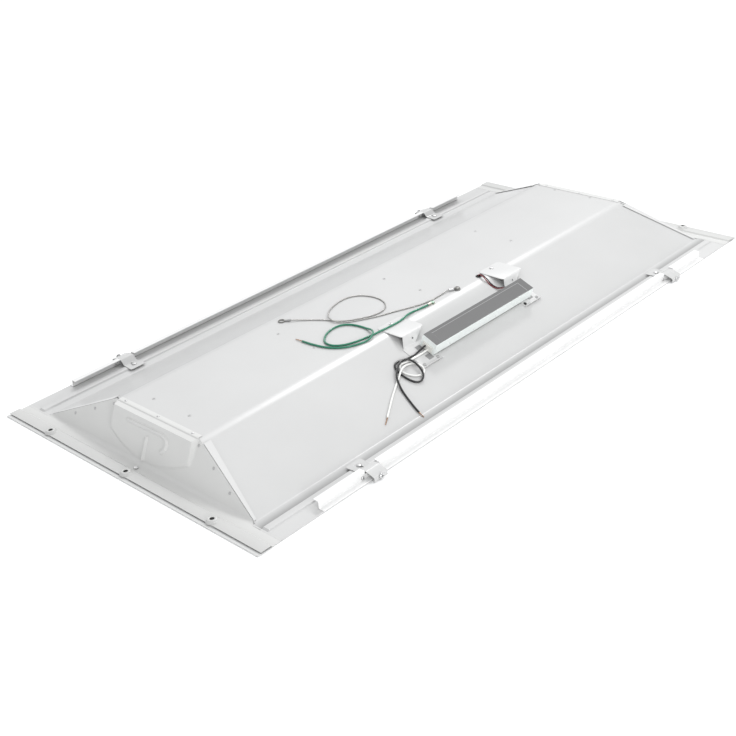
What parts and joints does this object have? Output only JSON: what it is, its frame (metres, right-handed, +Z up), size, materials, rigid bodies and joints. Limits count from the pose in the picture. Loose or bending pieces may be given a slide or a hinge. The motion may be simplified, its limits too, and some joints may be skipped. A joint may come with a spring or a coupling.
{
  "type": "recessed troffer light",
  "caption": "recessed LED troffer with a formed steel housing, pressed end plates, side clips, a surface driver and a curved centre lens, laid with its light side down",
  "frame": {"origin": "centre of the bottom, in the plane of the ceiling face of the trim frame", "axes": "+X along the fixture, +Y across it, +Z up into the ceiling space; light leaves towards -Z"},
  "size_m": [1.213, 0.6164, 0.068],
  "materials": {
    "trim_white": "semi-gloss white baked enamel",
    "housing_white": "semi-gloss white baked enamel",
    "end_white": "semi-gloss white baked enamel",
    "rail_white": "white baked enamel",
    "clip_steel": "white baked enamel on spring steel",
    "bright_screw": "bright zinc plating",
    "rivet_steel": "plain zinc",
    "bracket_white": "white baked enamel",
    "driver_cover": "smooth grey enamel",
    "driver_base": "light grey enamel",
    "dark_screw": "black oxide",
    "circuit_board": "green solder mask",
    "board_parts": "moulded and wound components",
    "nylon": "natural nylon",
    "led_board": "white solder mask",
    "led_chip": "phosphor window",
    "lens": "frosted acrylic",
    "lens_cap": "white moulded acrylic",
    "rubber_black": "moulded rubber",
    "cable_steel": "stranded galvanised steel",
    "brass_lug": "tinned brass",
    "green_screw": "green dye over zinc",
    "wire_green": "extruded insulation",
    "wire_black": "extruded insulation",
    "wire_white": "extruded insulation",
    "wire_red": "extruded insulation",
    "copper": "bare copper"
  },
  "bodies": {
    "root": {"trim_frame": "trim_white", "reflector_body": "housing_white", "end_plate_left": "end_white", "end_plate_right": "end_white", "end_rivets_left": "rivet_steel", "end_rivets_right": "rivet_steel", "end_bolts": "bright_screw", "rail_near": "rail_white", "rail_far": "rail_white", "rail_screws": "bright_screw", "clip_rivets": "rivet_steel", "bracket_left": "bracket_white", "bracket_right": "bracket_white", "bracket_screws": "bright_screw", "driver_base": "driver_base", "driver_cover": "driver_cover", "driver_board": "circuit_board", "driver_parts": "board_parts", "driver_bushing": "nylon", "driver_screws": "dark_screw", "led_board_near_left": "led_board", "led_board_near_right": "led_board", "led_board_far_left": "led_board", "led_board_far_right": "led_board", "led_chips": "led_chip", "board_rivets": "nylon", "board_connectors": "nylon", "lens": "lens", "lens_cap_left": "lens_cap", "lens_cap_right": "lens_cap", "lens_channel_near": "end_white", "lens_channel_far": "end_white", "wire_bushing": "rubber_black", "safety_cable": "cable_steel", "cable_eye_free": "cable_steel", "cable_eye_fixed": "cable_steel", "cable_ferrule_free": "rivet_steel", "cable_ferrule_fixed": "rivet_steel", "cable_screw": "bright_screw", "ground_wire": "wire_green", "ground_lug": "brass_lug", "ground_screw": "green_screw", "line_wire_black": "wire_black", "line_wire_white": "wire_white", "wire_tips": "copper", "led_lead_red": "wire_red", "led_lead_black": "wire_black"},
    "clip_near_left_slider": {"clip_near_left": "clip_steel"},
    "clip_near_left_driver_screw": {"clip_screw_near_left": "bright_screw"},
    "clip_near_right_slider": {"clip_near_right": "clip_steel"},
    "clip_near_right_driver_screw": {"clip_screw_near_right": "bright_screw"},
    "clip_far_left_slider": {"clip_far_left": "clip_steel"},
    "clip_far_left_driver_screw": {"clip_screw_far_left": "bright_screw"},
    "clip_far_right_slider": {"clip_far_right": "clip_steel"},
    "clip_far_right_driver_screw": {"clip_screw_far_right": "bright_screw"}
  },
  "joints": [
    {"name": "clip_near_left_slide", "type": "slide", "parent": "root", "child": "clip_near_left_slider", "axis": [0, 1, 0], "range_m": [0, 0.006]},
    {"name": "clip_near_left_turn", "type": "hinge", "parent": "clip_near_left_slider", "child": "clip_near_left_driver_screw", "pos_m": [-0.384, -0.3, 0.006], "axis": [0, 1, 0], "range_deg": [-5, 3091]},
    {"name": "clip_near_right_slide", "type": "slide", "parent": "root", "child": "clip_near_right_slider", "axis": [0, 1, 0], "range_m": [0, 0.006]},
    {"name": "clip_near_right_turn", "type": "hinge", "parent": "clip_near_right_slider", "child": "clip_near_right_driver_screw", "pos_m": [0.384, -0.3, 0.006], "axis": [0, 1, 0], "range_deg": [-5, 3091]},
    {"name": "clip_far_left_slide", "type": "slide", "parent": "root", "child": "clip_far_left_slider", "axis": [0, -1, 0], "range_m": [0, 0.006]},
    {"name": "clip_far_left_turn", "type": "hinge", "parent": "clip_far_left_slider", "child": "clip_far_left_driver_screw", "pos_m": [-0.384, 0.3, 0.006], "axis": [0, -1, 0], "range_deg": [-5, 3091]},
    {"name": "clip_far_right_slide", "type": "slide", "parent": "root", "child": "clip_far_right_slider", "axis": [0, -1, 0], "range_m": [0, 0.006]},
    {"name": "clip_far_right_turn", "type": "hinge", "parent": "clip_far_right_slider", "child": "clip_far_right_driver_screw", "pos_m": [0.384, 0.3, 0.006], "axis": [0, -1, 0], "range_deg": [-5, 3091]}
  ],
  "couplings": [
    {"joint": "clip_near_left_turn", "follows": "clip_near_left_slide", "rad_per_m": 8976},
    {"joint": "clip_near_right_turn", "follows": "clip_near_right_slide", "rad_per_m": 8976},
    {"joint": "clip_far_left_turn", "follows": "clip_far_left_slide", "rad_per_m": 8976},
    {"joint": "clip_far_right_turn", "follows": "clip_far_right_slide", "rad_per_m": 8976}
  ]
}
